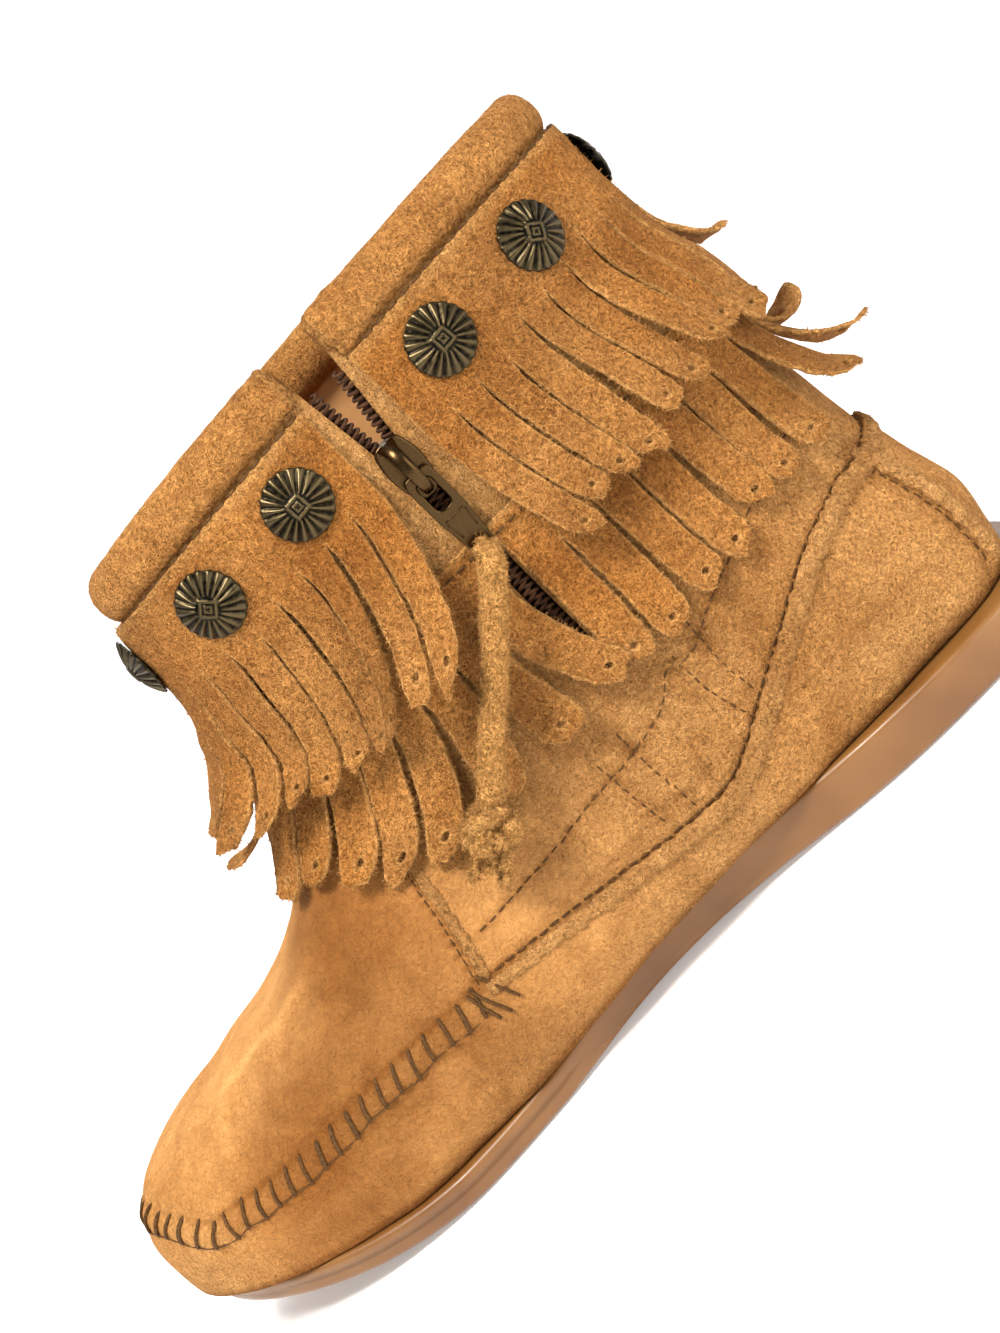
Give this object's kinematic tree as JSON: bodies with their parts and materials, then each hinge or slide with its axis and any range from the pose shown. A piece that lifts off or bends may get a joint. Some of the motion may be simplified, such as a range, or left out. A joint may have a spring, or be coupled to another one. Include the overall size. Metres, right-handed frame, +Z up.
{
  "type": "moccasin boot",
  "caption": "Ankle-high suede moccasin boot with a padded collar, a side zip, two rows of cut fringe, domed metal conchos and a low rubber sole.",
  "frame": {"origin": "under the sole, on the flat of the heel, 6 mm in front of its rear edge, on the shoe's centre line", "axes": "+X toward the toe, +Y toward the inner ankle and the zip, +Z up"},
  "size_m": [0.2552, 0.0968, 0.1562],
  "materials": {
    "suede": "napped tan suede",
    "gum_rubber": "semi-gloss gum rubber",
    "lining": "smooth light footbed",
    "zip_cloth": "dark brown woven tape and coil",
    "dark_brass": "antique dark brass"
  },
  "bodies": {
    "boot": {"outsole": "gum_rubber", "insole": "lining", "upper": "suede", "collar_roll": "suede", "fringe_upper": "suede", "fringe_lower": "suede", "zip_tape": "zip_cloth", "zip_coil_closed": "zip_cloth", "zip_coil_front": "zip_cloth", "zip_coil_rear": "zip_cloth", "zip_slider": "dark_brass", "concho_1": "dark_brass", "concho_2": "dark_brass", "concho_3": "dark_brass", "concho_4": "dark_brass", "concho_5": "dark_brass", "concho_6": "dark_brass", "concho_7": "dark_brass", "concho_8": "dark_brass", "concho_9": "dark_brass", "concho_10": "dark_brass"},
    "pull": {"zip_pull_tab": "dark_brass", "pull_thong": "suede"}
  },
  "joints": [
    {"name": "pull_hinge", "type": "hinge", "parent": "boot", "child": "pull", "pos_m": [0.07879, 0.03807, 0.11564], "axis": [0.9975, 0.0701, -0.0035], "range_deg": [0, 150]}
  ]
}
